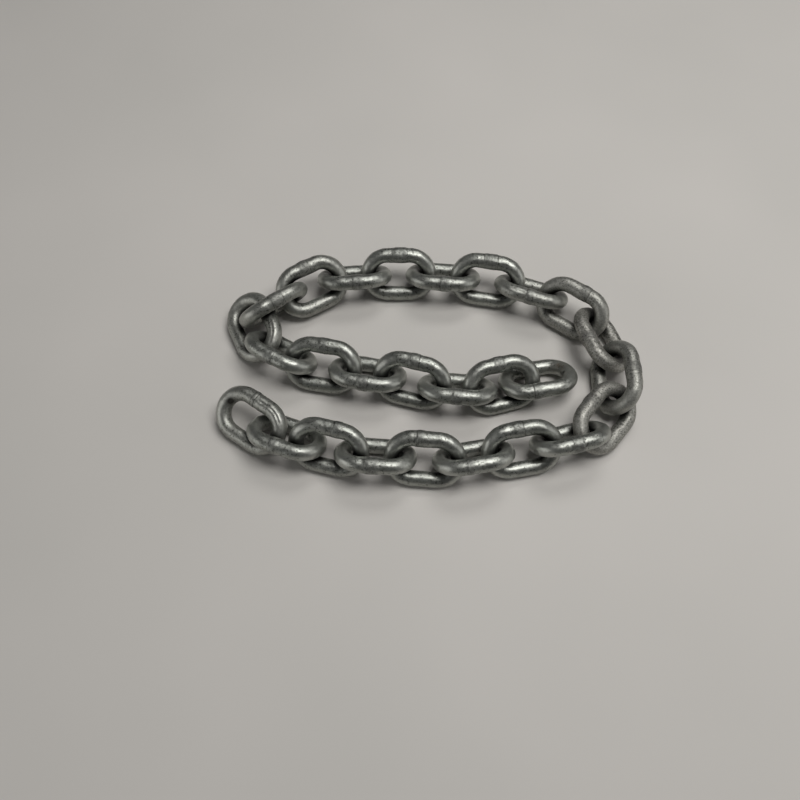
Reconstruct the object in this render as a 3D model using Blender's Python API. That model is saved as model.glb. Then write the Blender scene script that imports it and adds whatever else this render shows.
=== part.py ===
"""A length of galvanised short-link chain, lying on the floor as one loose spiral.

Every link is a closed solid of its own. The links are laid one after another from the inner end:
each has a heading and a lean, rests on the floor, and is seated in the link before it.
"""
import math

import bmesh
import bpy
import numpy as np
from mathutils import Matrix, Vector

# Link size in metres
BAR = 0.008
PITCH = 0.0245
OUTER_WIDTH = 0.0285

# Weld swelling in the middle of one long side, in metres
WELD_PROUD = 0.0003
WELD_HALF_LENGTH = 0.0022

# Facets of the solid
BAR_SIDES = 16
ARC_STEPS = 7

# Least distance between the middles of two bars: their flats come to about 0.3 mm of each other
GAP = 0.0003
SEAT_DISTANCE = BAR * math.cos(math.pi / BAR_SIDES) + GAP
SEAT_STEP = 0.00005

# How each link lies, from the inner end: (heading, lean) to the nearest five degrees. The heading
# turns clockwise from +X, seen from above. The lean is how far the raised side stands up.
INNER_RUN = ((170, 30), (165, 40), (185, 40), (195, 50), (190, 35), (190, 45), (210, 45))
LEFT_BEND = ((245, 30), (325, 65))
TOP_RUN = ((330, 40), (355, 40), (0, 50), (5, 35), (10, 50), (20, 40), (35, 50))
RIGHT_BEND = ((70, 35), (90, 50), (130, 30))
LOWER_RUN = ((165, 50), (170, 45), (170, 45), (185, 45), (185, 40), (195, 50), (200, 35), (215, 35))
LAY = INNER_RUN + LEFT_BEND + TOP_RUN + RIGHT_BEND + LOWER_RUN

# The raised side swaps from link to link, but not at this one, where the chain twists over
TWISTED_LINK = 9

# Links that their neighbours carry clear of the floor, in metres
LIFTS = {9: 0.0005, 10: 0.002, 13: 0.001}

# Links that hang beside the middle of the crown before them, in metres to the left
SIDE_STEPS = {9: -0.009, 16: -0.001}

# Links pushed back from the taut seat, in metres
SLACKS = {2: 0.003, 27: 0.002}

ZINC_GREY = (0.36, 0.37, 0.355, 1.0)


def remove_all_objects():
    for obj in list(bpy.data.objects):
        bpy.data.objects.remove(obj)


def zinc_material():
    material = bpy.data.materials.new("zinc")
    material.use_nodes = True
    shader = material.node_tree.nodes["Principled BSDF"]
    shader.inputs["Base Color"].default_value = ZINC_GREY
    shader.inputs["Metallic"].default_value = 0.85
    shader.inputs["Roughness"].default_value = 0.45
    return material


def bar_stations():
    """Places along the bar of a flat link: (point, outward direction, bar radius) for each."""
    bend = (OUTER_WIDTH - BAR) / 2
    half_side = (PITCH + BAR) / 2 - bend
    angles = [math.pi * (step / ARC_STEPS - 0.5) for step in range(ARC_STEPS + 1)]
    outwards = [(math.cos(angle), math.sin(angle)) for angle in angles]
    front = [((half_side + bend * x, bend * y), (x, y), BAR / 2) for x, y in outwards]
    back = [((-half_side - bend * x, -bend * y), (-x, -y), BAR / 2) for x, y in outwards]
    weld = [((shift * WELD_HALF_LENGTH, bend), (0, 1), BAR / 2 + (1 - abs(shift)) * WELD_PROUD)
            for shift in (1, 0, -1)]
    return front + weld + back


def ring(point, outward, radius):
    """Corners of the bar's cross-section at one station."""
    corners = []
    for side in range(BAR_SIDES):
        angle = 2 * math.pi * (side + 0.5) / BAR_SIDES
        reach = radius * math.cos(angle)
        corners.append((point[0] + outward[0] * reach, point[1] + outward[1] * reach,
                        radius * math.sin(angle)))
    return corners


def link_corners():
    return np.array([corner for station in bar_stations() for corner in ring(*station)])


def loop_line():
    """Points close together along the middle of the bar of a flat link."""
    points = np.array([station[0] for station in bar_stations()])
    following = np.roll(points, -1, axis=0)
    shares = np.arange(6) / 6
    line = points[:, None] + (following - points)[:, None] * shares[None, :, None]
    return np.pad(line.reshape(-1, 2), ((0, 0), (0, 1)))


def link_axes(number, heading, lean):
    """Turned axes of a link as columns: along it, towards its raised side, out of its face."""
    course = -math.radians(heading)
    tilt = math.radians(lean)
    turns_before = number - 1 + (number >= TWISTED_LINK)
    left = 1 if turns_before % 2 == 0 else -1
    along = np.array([math.cos(course), math.sin(course), 0.0])
    level = left * np.array([-along[1], along[0], 0.0])
    raised = math.cos(tilt) * level + math.sin(tilt) * np.array([0.0, 0.0, 1.0])
    return np.column_stack([along, raised, np.cross(along, raised)])


def distance(line, other):
    return np.linalg.norm(line[:, None] - other[None], axis=2).min()


def lay_links():
    """Axes and centre of every link, each one seated in the link before it."""
    corners = link_corners()
    flat_line = loop_line()
    hook = np.zeros(2)
    line_before = None
    placed = []
    for number, (heading, lean) in enumerate(LAY, start=1):
        axes = link_axes(number, heading, lean)
        along = axes[:, 0]
        aside = np.array([-along[1], along[0], 0.0]) * SIDE_STEPS.get(number, 0)
        height = LIFTS.get(number, 0) - (corners @ axes.T)[:, 2].min()
        centre = np.array([hook[0], hook[1], height]) + along * PITCH / 2 + aside
        line = flat_line @ axes.T
        if line_before is not None:
            while distance(line + centre, line_before) < SEAT_DISTANCE:
                centre = centre - along * SEAT_STEP
            centre = centre - along * SLACKS.get(number, 0)
        line_before = line + centre
        hook = (centre + along * PITCH / 2)[:2]
        placed.append((axes, centre))
    return placed


def bottom_centre(placed):
    """Point on the floor under the middle of the laid chain."""
    corners = link_corners()
    spread = np.vstack([corners @ axes.T + centre for axes, centre in placed])
    low, high = spread.min(axis=0), spread.max(axis=0)
    return np.array([(low[0] + high[0]) / 2, (low[1] + high[1]) / 2, low[2]])


def link_mesh(material):
    mesh = bpy.data.meshes.new("link")
    shape = bmesh.new()
    rings = [[shape.verts.new(corner) for corner in ring(*station)] for station in bar_stations()]
    for this, following in zip(rings, rings[1:] + rings[:1]):
        for side in range(BAR_SIDES):
            beside = (side + 1) % BAR_SIDES
            shape.faces.new((this[side], following[side], following[beside], this[beside]))
    bmesh.ops.recalc_face_normals(shape, faces=shape.faces)
    shape.to_mesh(mesh)
    shape.free()
    mesh.materials.append(material)
    mesh.shade_smooth()
    mesh.set_sharp_from_angle(angle=math.radians(40))
    return mesh


def add_link(number, mesh, axes, centre):
    link = bpy.data.objects.new(f"link_{number:02d}", mesh)
    link.rotation_euler = Matrix(axes.tolist()).to_euler()
    link.location = Vector(centre.tolist())
    bpy.context.scene.collection.objects.link(link)


def build_chain():
    remove_all_objects()
    mesh = link_mesh(zinc_material())
    placed = lay_links()
    origin = bottom_centre(placed)
    for number, (axes, centre) in enumerate(placed, start=1):
        add_link(number, mesh, axes, centre - origin)


build_chain()
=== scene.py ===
"""A galvanised short-link chain with its welds, worn zinc, dirt and painted contact shade, lying on a
pale floor.

Every link of the plain model is replaced by a smooth, finely divided bar in the same place.
"""
import math

import bpy
import numpy as np
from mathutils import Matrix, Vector


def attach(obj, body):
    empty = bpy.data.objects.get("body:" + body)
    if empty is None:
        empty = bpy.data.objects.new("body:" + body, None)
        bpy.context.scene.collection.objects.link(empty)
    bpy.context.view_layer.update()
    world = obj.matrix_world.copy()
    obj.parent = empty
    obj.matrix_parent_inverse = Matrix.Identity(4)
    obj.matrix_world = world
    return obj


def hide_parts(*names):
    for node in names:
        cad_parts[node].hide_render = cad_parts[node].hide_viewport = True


# Link size in metres. The bar is a little thinner than nominal where it was bent, and swells
# towards its weld.
BAR_RADIUS = 0.00382
SWELL = 0.00014
SWELL_REACH = 0.0055
BEND_RADIUS = 0.01025
HALF_SIDE = 0.0060

# The plain model's bar: its radius, its number of facets, and how far the outermost corners of a
# bar with such facets are from its middle
PLAIN_RADIUS = 0.004
PLAIN_SIDES = 16
PLAIN_REACH = PLAIN_RADIUS * math.cos(math.pi / PLAIN_SIDES)

# Division of the bar's surface: sides round it, stations along it, and the step between stations
# within reach of the weld, in metres
SIDES = 52
STATIONS = 162
WELD_STEP = 0.0002
WELD_REACH = 0.0058

# Points along the middle of a bar from which distances to it are measured
LOOP_POINTS = 160

# Weld collar on the raised side: how far it stands out on the outside of the link, and how deep
# its creases are, in metres. On the inside of the link it has this share of its height.
COLLAR_PROUD = 0.00030
CREASE_DEPTH = 0.00018
COLLAR_INSIDE = 0.35

# Along the bar, in millimetres: the slope at a collar's ends, the width of a crease, and how far
# both slant and waver round the bar
COLLAR_EDGE = 1.5
CREASE_WIDTH = 0.18
SLANT = 0.3
WAVER = 0.15
MM_PER_METRE = 1000

# A crease is deep on one side of the bar and keeps this share of its depth on the other. The
# change lies where the cosine of the angle from its deepest place has this value, and is this wide.
FAINT_SHARE = 0.4
FAINT_BELOW = -0.3
FAINT_OVER = 0.6

# Where the collar begins and ends, to the right of the raised side's middle in millimetres, and
# how deep the crease at each end is from 0 to 1
WELDS = {
    1: (-5.4, -1.8, 0.7, 0.0), 9: (-2.6, 3.9, 0.5, 0.6), 11: (-1.6, 3.7, 0.9, 0.0),
    12: (-2.6, 4.4, 0.1, 0.5), 13: (-0.9, 3.5, 1.0, 0.1), 14: (-3.0, 4.1, 0.1, 1.0),
    15: (-1.1, 2.6, 0.7, 0.0), 16: (0.6, 4.8, 0.0, 0.7), 20: (-3.1, 2.1, 0.3, 0.5),
    21: (-3.6, 1.2, 0.3, 0.7), 22: (-5.6, -2.4, 0.3, 0.1), 23: (-4.5, -1.0, 0.6, 0.0),
    24: (-4.4, 2.2, 0.6, 0.1), 25: (1.0, 4.9, 0.5, 0.2), 26: (-4.3, -0.6, 0.6, 0.1),
    27: (-3.6, -1.6, 0.6, 0.8),
}
COMMON_WELD = (-2.5, 2.2, 0.1, 0.5)

# Long grooves in some bars: (from, to, angle round the bar), in metres to the right of the raised
# side's middle and in degrees from its outside
GROOVES = {8: (0.0045, 0.0165, 72), 15: (-0.0090, -0.0025, 36), 27: (0.0000, 0.0150, 66)}
GROOVE_WIDTH = 0.00055
GROOVE_DEPTH = 0.00032
GROOVE_END = 0.0015

# Unevenness of the zinc coat: (size, height) in metres. Each is a sum of waves in all directions,
# with turns per size between two values, and is brought to about 1 by the divisor.
RIPPLES = ((0.0060, 0.00005), (0.0024, 0.000022), (0.0013, 0.000012))
WAVE_COUNT = 24
WAVE_TURNS = (0.7, 1.4)
WAVE_DIVISOR = 5

# How far the painted contact shade spreads from where two bars meet, in metres
CONTACT_SHADE_REACH = 0.0040

# The ends of the links are worn smooth beyond this far from the middle, within this length
WORN_FROM = 0.010
WORN_OVER = 0.004

# Links whose coat is duller and sandier than the others', and how much from 0 to 1
DULL_LINKS = {8: 0.4, 9: 0.3, 10: 0.3, 15: 0.3, 16: 0.7, 17: 1.0, 18: 0.6, 19: 0.9, 27: 0.3}

# Marks on single links: (kind, link, place on the flat link, size), in metres
MARKS = (
    ("stain", 1, (-0.0129, -0.0040, 0.0035), 0.0030),
    ("dirt", 1, (-0.0129, 0.0010, 0.0024), 0.0009),
    ("dirt", 27, (-0.0128, 0.0033, 0.0032), 0.0020),
)

# Noise in the coat: (size in metres, detail, roughness of the detail), and the lumps' height
GRAIN = (0.0012, 4, 0.7)
LUMPS = (0.0012, 3, 0.6)
LUMP_HEIGHT = 0.00010

# Patterns in the coat and on the floor: noise as above, and between which two of its levels the
# pattern goes from none to full
CLOUDS = (0.004, 3, 0.5, 0.35, 0.65)
SAND = (0.0008, 2, 0.6, 0.36, 0.62)
SPECKS = (0.0010, 2, 0.5, 0.56, 0.66)
BLOTCHES = (0.0016, 2, 0.5, 0.48, 0.62)
FLOOR_CLOUDS = (0.15, 2, 0.5, 0.3, 0.7)

# Colours of the coat
ZINC_DARK = (0.232, 0.242, 0.222, 1)
ZINC_PALE = (0.325, 0.337, 0.311, 1)
GRAIN_PALE = (0.44, 0.449, 0.420, 1)
WORN_PALE = (0.50, 0.512, 0.480, 1)
SAND_DARK = (0.16, 0.153, 0.138, 1)
SAND_PALE = (0.43, 0.418, 0.388, 1)
SPECK_BLACK = (0.045, 0.045, 0.042, 1)
SCORCH_GREY = (0.09, 0.09, 0.088, 1)
CREASE_BLACK = (0.04, 0.04, 0.037, 1)
STAIN_BROWN = (0.19, 0.14, 0.095, 1)
DIRT_BLACK = (0.02, 0.018, 0.016, 1)
# Painted shade where two links meet and touch
PAINTED_SHADE_BLACK = (0.014, 0.014, 0.013, 1)

# Levels of the grain between which a stain goes from none to full, and the roughness rises
STAIN_LEVELS = (0.4, 0.6)
ROUGHNESS_LEVELS = (0.3, 0.7)

# Shine of the coat: how metallic and how rough it is, and how much rougher some places are
METALLIC = 0.88
ROUGHNESS = (0.29, 0.48)
ROUGHER = {"dull": 0.16, "weld": 0.12}

# Share of the specks and lumps that is left where the coat is worn, and share of the scorching
# that lies between its blotches
WORN_LEFT = 0.25
SCORCH_LEAST = 0.4

# Floor: colours, roughness, and reach to each side in metres
FLOOR_DARK = (0.58, 0.565, 0.54, 1)
FLOOR_PALE = (0.62, 0.60, 0.575, 1)
FLOOR_ROUGHNESS = 0.75
FLOOR_REACH = 3

# Camera, in metres and degrees, but for its sensor in millimetres. Its lens is as long as its
# sensor is wide.
AIM = Vector((-0.01369, -0.01620, 0.0))
CAMERA_DISTANCE = 0.40816
CAMERA_ELEVATION = 63.5
NEAREST_SEEN = 0.01
SENSOR_WIDTH = 36

# Soft lights: (name, direction that it shines from, distance, width, depth, watts), in metres
LIGHTS = (
    ("broad", (0.28, 0.03, 1.0), 1.0, 0.75, 0.42, 5.75),
    ("core", (0.22, 0.62, 1.0), 1.1, 0.6, 0.30, 2.1),
    ("left", (-1.0, -0.40, 0.28), 1.3, 0.9, 1.4, 3.9),
    ("right", (1.0, -0.20, 0.30), 1.3, 0.9, 1.0, 2.3),
)
LIGHT_COLOUR = (1.0, 0.985, 0.96)
SURROUNDINGS_COLOUR = (0.95, 0.97, 1.0, 1)
SURROUNDINGS_STRENGTH = 0.035


def loop_length():
    return 4 * HALF_SIDE + 2 * math.pi * BEND_RADIUS


def station_lengths():
    """Distances along the bar from the raised side's middle, close together at the weld."""
    near = np.arange(-WELD_REACH, WELD_REACH, WELD_STEP)
    far = np.linspace(WELD_REACH, loop_length() - WELD_REACH, STATIONS, endpoint=False)
    return np.concatenate([near, far])


def loop_places(lengths):
    """Middle of the bar and outward direction of a flat link, its raised side towards +Y."""
    arc = math.pi * BEND_RADIUS
    ends = np.cumsum([-HALF_SIDE, 2 * HALF_SIDE, arc, 2 * HALF_SIDE, arc, 2 * HALF_SIDE])
    angle = np.interp(lengths, ends, np.array([0, 0, 1, 1, 2, 2]) * math.pi)
    shift = np.interp(lengths, ends, np.array([-1, 1, 1, -1, -1, 1]) * HALF_SIDE)
    outward = np.stack([np.sin(angle), np.cos(angle), np.zeros_like(angle)], axis=1)
    middle = outward * BEND_RADIUS
    middle[:, 0] += shift
    return middle, outward


def link_frame(plain_link):
    """Axes of a plain link as columns, and its centre: along it, raised side, upper face."""
    corners = np.unique([tuple(vertex.co) for vertex in plain_link.data.vertices], axis=0)
    middle = corners.mean(axis=0)
    upper, raised = np.linalg.eigh(np.cov((corners - middle).T))[1].T[:2]
    raised = raised * np.sign(raised[2])
    upper = upper * np.sign(upper[2])
    # The weld swells the raised side, so the centre is measured from the other one
    lowest = ((corners - middle) @ raised).min()
    centre = middle + raised * (lowest + BEND_RADIUS + PLAIN_REACH)
    return np.column_stack([np.cross(raised, upper), raised, upper]), centre


def waves(points, size, random):
    """A smooth uneven field over points, about -1 to 1, whose lumps are of the given size."""
    directions = random.normal(size=(WAVE_COUNT, 3))
    directions /= np.linalg.norm(directions, axis=1)[:, None]
    turns = directions * random.uniform(*WAVE_TURNS, WAVE_COUNT)[:, None] * 2 * math.pi / size
    starts = random.uniform(0, 2 * math.pi, WAVE_COUNT)
    return np.sin(points @ turns.T + starts).sum(axis=1) / WAVE_DIVISOR


def step_up(values, width):
    """From 0 well below zero to 1 well above it, most of the way within the width."""
    return 1 / (1 + np.exp(-4 * values / width))


def weld(number, lengths, around, random):
    """How far the weld collar stands out and how deep its creases are, from 0 to 1."""
    first, last, first_depth, last_depth = WELDS.get(number, COMMON_WELD)
    slant = random.uniform(-SLANT, SLANT) * np.cos(around)
    waver = random.uniform(-WAVER, WAVER) * np.sin(2 * around)
    places = lengths * MM_PER_METRE + slant + waver
    rise = step_up(places - first, COLLAR_EDGE) * step_up(last - places, COLLAR_EDGE)
    rise = rise * (COLLAR_INSIDE + (1 - COLLAR_INSIDE) * (0.5 + 0.5 * np.cos(around)))
    crease = np.zeros_like(lengths)
    for place, depth in ((first, first_depth), (last, last_depth)):
        deepest = random.uniform(0, 2 * math.pi)
        deep = step_up(np.cos(around - deepest) - FAINT_BELOW, FAINT_OVER)
        depths = depth * (FAINT_SHARE + (1 - FAINT_SHARE) * deep)
        crease += depths * np.exp(-((places - place) / CREASE_WIDTH) ** 2)
    return rise, crease


def groove(number, lengths, around):
    """How deep the long groove in a bar is, from 0 to 1."""
    if number not in GROOVES:
        return np.zeros_like(lengths)
    first, last, degrees = GROOVES[number]
    inside = step_up(lengths - first, GROOVE_END) * step_up(last - lengths, GROOVE_END)
    aside = (around - math.radians(degrees)) * BAR_RADIUS
    return inside * np.exp(-(aside / GROOVE_WIDTH) ** 2)


def spokes(outward):
    """Directions out of the bar's middle in rows round it, and their angles from the outside."""
    around = np.arange(SIDES) * 2 * math.pi / SIDES
    across = np.array([0.0, 0.0, 1.0])
    directions = outward[:, None] * np.cos(around)[:, None] + across * np.sin(around)[:, None]
    return directions.reshape(-1, 3), np.tile(around, len(outward))


def link_surface(number, rightward):
    """Points of a flat link's surface in rows round the bar, and how welded and creased each is.

    Rightward is 1 for a link whose length points to the right, and -1 for one turned about.
    """
    random = np.random.default_rng(number)
    lengths = station_lengths()
    middle, outward = loop_places(lengths)
    normal, around = spokes(outward)
    bar = middle.repeat(SIDES, axis=0)
    total = loop_length()
    from_middle = (lengths + total / 2) % total - total / 2
    to_right = from_middle.repeat(SIDES) * rightward
    rise, crease = weld(number, to_right, around, random)
    swelling = SWELL * np.exp(-(to_right / SWELL_REACH) ** 2)
    radius = BAR_RADIUS + swelling + rise * COLLAR_PROUD - crease * CREASE_DEPTH
    radius = radius - groove(number, to_right, around) * GROOVE_DEPTH
    for size, height in RIPPLES:
        radius = radius + waves(bar + normal * BAR_RADIUS, size, random) * height
    return bar + normal * radius[:, None], rise, crease


def tube_faces(rows):
    """Quads of a closed tube whose points are in rows round the bar."""
    row, side = np.meshgrid(np.arange(rows), np.arange(SIDES), indexing="ij")
    row, side = row.ravel(), side.ravel()
    next_row, next_side = (row + 1) % rows, (side + 1) % SIDES
    return np.stack([row * SIDES + side, row * SIDES + next_side,
                     next_row * SIDES + next_side, next_row * SIDES + side], axis=1)


def closeness(points, loops):
    """From 0 to 1, how near points are to the bars along the given loops."""
    nearest = np.full(len(points), np.inf)
    for loop in loops:
        apart = np.linalg.norm(points[:, None] - loop[None], axis=2).min(axis=1)
        nearest = np.minimum(nearest, apart)
    return np.clip(1 - (nearest - BAR_RADIUS) / CONTACT_SHADE_REACH, 0, 1)


def marks(kind, number, flat):
    """From 0 to 1, how much a link's flat points are covered by one kind of mark."""
    covered = np.zeros(len(flat))
    for mark, link, place, size in MARKS:
        if (mark, link) == (kind, number):
            covered += np.exp(-(np.linalg.norm(flat - np.array(place), axis=1) / size) ** 2)
    return covered


def link_mesh(number, name, axes, centre, neighbours, material):
    """Mesh of one link, with the amount of wear, dirt and painted contact shade at every point."""
    rightward = 1 if axes[0, 0] > 0 else -1
    flat, rise, crease = link_surface(number, rightward)
    points = flat @ axes.T + centre
    mesh = bpy.data.meshes.new(name + "_bar")
    mesh.from_pydata(points.tolist(), [], tube_faces(len(points) // SIDES).tolist())
    mesh.shade_smooth()
    mesh.materials.append(material)
    amounts = {
        "weld": rise,
        "crease": crease,
        # Painted shade where the links beside it come close
        "painted_contact_shade": closeness(points, neighbours),
        "dull": np.full(len(flat), DULL_LINKS.get(number, 0)),
        "worn": np.clip((np.abs(flat[:, 0]) - WORN_FROM) / WORN_OVER, 0, 1),
        "stain": marks("stain", number, flat),
        "dirt": marks("dirt", number, flat),
    }
    for kind, values in amounts.items():
        layer = mesh.attributes.new(kind, "FLOAT", "POINT")
        layer.data.foreach_set("value", values.astype(np.float32))
    return mesh


def add_link(number, name, axes, centre, neighbours, material):
    mesh = link_mesh(number, name, axes, centre, neighbours, material)
    link = bpy.data.objects.new(name + "_bar", mesh)
    bpy.context.scene.collection.objects.link(link)
    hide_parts(name)
    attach(link, "root")


def node(tree, kind, **settings):
    made = tree.nodes.new(kind)
    for name, value in settings.items():
        setattr(made, name, value)
    return made


def object_place(tree):
    return node(tree, "ShaderNodeTexCoord").outputs["Object"]


def noise(tree, coordinates, size, detail, roughness):
    """Noise whose lumps are about size metres across."""
    made = node(tree, "ShaderNodeTexNoise")
    made.inputs["Scale"].default_value = 1 / size
    made.inputs["Detail"].default_value = detail
    made.inputs["Roughness"].default_value = roughness
    tree.links.new(coordinates, made.inputs["Vector"])
    return made.outputs["Fac"]


def levels(tree, value, low, high, least=0.0, most=1.0):
    """Value stretched so that low to high becomes least to most."""
    made = node(tree, "ShaderNodeMapRange")
    tree.links.new(value, made.inputs["Value"])
    made.inputs["From Min"].default_value = low
    made.inputs["From Max"].default_value = high
    made.inputs["To Min"].default_value = least
    made.inputs["To Max"].default_value = most
    return made.outputs["Result"]


def pattern(tree, coordinates, size, detail, roughness, none_at, full_at):
    """Noise stretched so that it goes from 0 to 1 between two of its levels."""
    return levels(tree, noise(tree, coordinates, size, detail, roughness), none_at, full_at)


def maths(tree, operation, first, second):
    made = node(tree, "ShaderNodeMath", operation=operation)
    tree.links.new(first, made.inputs[0])
    tree.links.new(second, made.inputs[1])
    return made.outputs["Value"]


def times(tree, first, second):
    return maths(tree, "MULTIPLY", first, second)


def plus(tree, first, second):
    return maths(tree, "ADD", first, second)


def mix(tree, share, first, second):
    """First with a share of second over it. Each of the two is a colour or an output."""
    made = node(tree, "ShaderNodeMix", data_type="RGBA")
    for socket, value in ((made.inputs[0], share), (made.inputs[6], first), (made.inputs[7], second)):
        if isinstance(value, bpy.types.NodeSocket):
            tree.links.new(value, socket)
        else:
            socket.default_value = value
    return made.outputs[2]


def attribute(tree, name):
    return node(tree, "ShaderNodeAttribute", attribute_name=name).outputs["Fac"]


def new_material(name):
    """A material, its node tree and its shader."""
    material = bpy.data.materials.new(name)
    material.use_nodes = True
    return material, material.node_tree, material.node_tree.nodes["Principled BSDF"]


def coat_colour(tree, place, grain, unworn):
    """Cloudy grey zinc, with everything that lies over it from the grain to the dirt, and painted
    shade where links meet.
    """
    sandy = mix(tree, pattern(tree, place, *SAND), SAND_DARK, SAND_PALE)
    specks = times(tree, pattern(tree, place, *SPECKS), unworn)
    blotches = levels(tree, pattern(tree, place, *BLOTCHES), 0, 1, SCORCH_LEAST, 1)
    scorch = times(tree, attribute(tree, "weld"), blotches)
    stained = times(tree, attribute(tree, "stain"), levels(tree, grain, *STAIN_LEVELS))

    # Each layer: (how much of it there is, none at, most at, share that it covers at most, colour)
    layers = (
        (grain, 0.35, 0.70, 0.60, GRAIN_PALE),
        (attribute(tree, "worn"), 0, 1, 0.45, WORN_PALE),
        (attribute(tree, "dull"), 0, 1, 0.70, sandy),
        (specks, 0, 1, 0.72, SPECK_BLACK),
        (scorch, 0, 1, 0.65, SCORCH_GREY),
        (attribute(tree, "crease"), 0, 0.8, 0.85, CREASE_BLACK),
        (stained, 0, 1, 0.90, STAIN_BROWN),
        (attribute(tree, "dirt"), 0, 0.6, 0.90, DIRT_BLACK),
        # Painted contact shade, darkest where the bars meet
        (attribute(tree, "painted_contact_shade"), 0, 0.6, 0.96, PAINTED_SHADE_BLACK),
    )
    colour = mix(tree, pattern(tree, place, *CLOUDS), ZINC_DARK, ZINC_PALE)
    for amount, none_at, most_at, share, over in layers:
        colour = mix(tree, levels(tree, amount, none_at, most_at, 0, share), colour, over)
    return colour


def coat_roughness(tree, grain):
    """Uneven with the grain, and rougher on dull links and on the weld."""
    rough = levels(tree, grain, *ROUGHNESS_LEVELS, *ROUGHNESS)
    for name, more in ROUGHER.items():
        rough = plus(tree, rough, levels(tree, attribute(tree, name), 0, 1, 0, more))
    return rough


def coat_bump(tree, place, unworn):
    """Fine lumps, flatter where the coat is worn."""
    bump = node(tree, "ShaderNodeBump")
    bump.inputs["Distance"].default_value = LUMP_HEIGHT
    tree.links.new(unworn, bump.inputs["Strength"])
    tree.links.new(noise(tree, place, *LUMPS), bump.inputs["Height"])
    return bump.outputs["Normal"]


def zinc_material():
    """Dull grey zinc: cloudy, speckled and finely pitted, darkened with painted shade where links
    touch.
    """
    material, tree, shader = new_material("galvanised_zinc")
    place = object_place(tree)
    grain = noise(tree, place, *GRAIN)
    unworn = levels(tree, attribute(tree, "worn"), 0, 1, 1.0, WORN_LEFT)
    tree.links.new(coat_colour(tree, place, grain, unworn), shader.inputs["Base Color"])
    tree.links.new(coat_roughness(tree, grain), shader.inputs["Roughness"])
    tree.links.new(coat_bump(tree, place, unworn), shader.inputs["Normal"])
    shader.inputs["Metallic"].default_value = METALLIC
    return material


def floor_material():
    """Pale matt board with very faint, wide clouds."""
    material, tree, shader = new_material("pale_floor")
    clouds = pattern(tree, object_place(tree), *FLOOR_CLOUDS)
    tree.links.new(mix(tree, clouds, FLOOR_DARK, FLOOR_PALE), shader.inputs["Base Color"])
    shader.inputs["Roughness"].default_value = FLOOR_ROUGHNESS
    return material


def add_floor():
    mesh = bpy.data.meshes.new("floor")
    signs = ((-1, -1), (1, -1), (1, 1), (-1, 1))
    corners = [(x * FLOOR_REACH, y * FLOOR_REACH, 0) for x, y in signs]
    mesh.from_pydata(corners, [], [(0, 1, 2, 3)])
    mesh.materials.append(floor_material())
    floor = bpy.data.objects.new("floor", mesh)
    bpy.context.scene.collection.objects.link(floor)


def add_light(name, direction, distance, width, depth, watts):
    """An oval light that shines from a direction onto the chain, its width along X."""
    light = bpy.data.lights.new(name, "AREA")
    light.shape = "ELLIPSE"
    light.size = width
    light.size_y = depth
    light.energy = watts
    light.color = LIGHT_COLOUR
    lamp = bpy.data.objects.new(name, light)
    toward = Vector(direction).normalized()
    lamp.location = toward * distance
    lamp.rotation_euler = (-math.asin(toward.y), math.atan2(toward.x, toward.z), 0)
    bpy.context.scene.collection.objects.link(lamp)


def add_surroundings():
    world = bpy.data.worlds.new("surroundings")
    world.use_nodes = True
    background = world.node_tree.nodes["Background"]
    background.inputs["Color"].default_value = SURROUNDINGS_COLOUR
    background.inputs["Strength"].default_value = SURROUNDINGS_STRENGTH
    bpy.context.scene.world = world


def add_camera():
    tilt = math.radians(CAMERA_ELEVATION)
    data = bpy.data.cameras.new("camera")
    data.sensor_width = SENSOR_WIDTH
    data.lens = SENSOR_WIDTH
    data.clip_start = NEAREST_SEEN
    camera = bpy.data.objects.new("camera", data)
    camera.location = AIM + CAMERA_DISTANCE * Vector((0, -math.cos(tilt), math.sin(tilt)))
    camera.rotation_euler = (math.pi / 2 - tilt, 0, 0)
    bpy.context.scene.collection.objects.link(camera)
    bpy.context.scene.camera = camera


def dress_links(nodes):
    """Replace every plain link, with painted shade where the links next to it touch it."""
    names = sorted(nodes)
    frames = [link_frame(nodes[name]) for name in names]
    flat_loop = loop_places(np.linspace(0, loop_length(), LOOP_POINTS, endpoint=False))[0]
    loops = [flat_loop @ axes.T + centre for axes, centre in frames]
    zinc = zinc_material()
    for index, (name, (axes, centre)) in enumerate(zip(names, frames)):
        beside = loops[max(index - 1, 0):index] + loops[index + 1:index + 2]
        add_link(index + 1, name, axes, centre, beside, zinc)


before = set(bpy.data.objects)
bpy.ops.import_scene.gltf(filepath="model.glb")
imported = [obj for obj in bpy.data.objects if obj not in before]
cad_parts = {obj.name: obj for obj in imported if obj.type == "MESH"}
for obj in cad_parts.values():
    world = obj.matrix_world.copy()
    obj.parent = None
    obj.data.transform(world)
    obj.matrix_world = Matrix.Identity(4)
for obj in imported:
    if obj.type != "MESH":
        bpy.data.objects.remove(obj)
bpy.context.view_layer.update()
dress_links(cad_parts)
add_floor()
for light in LIGHTS:
    add_light(*light)
add_surroundings()
add_camera()
bpy.context.scene.view_settings.view_transform = "Standard"
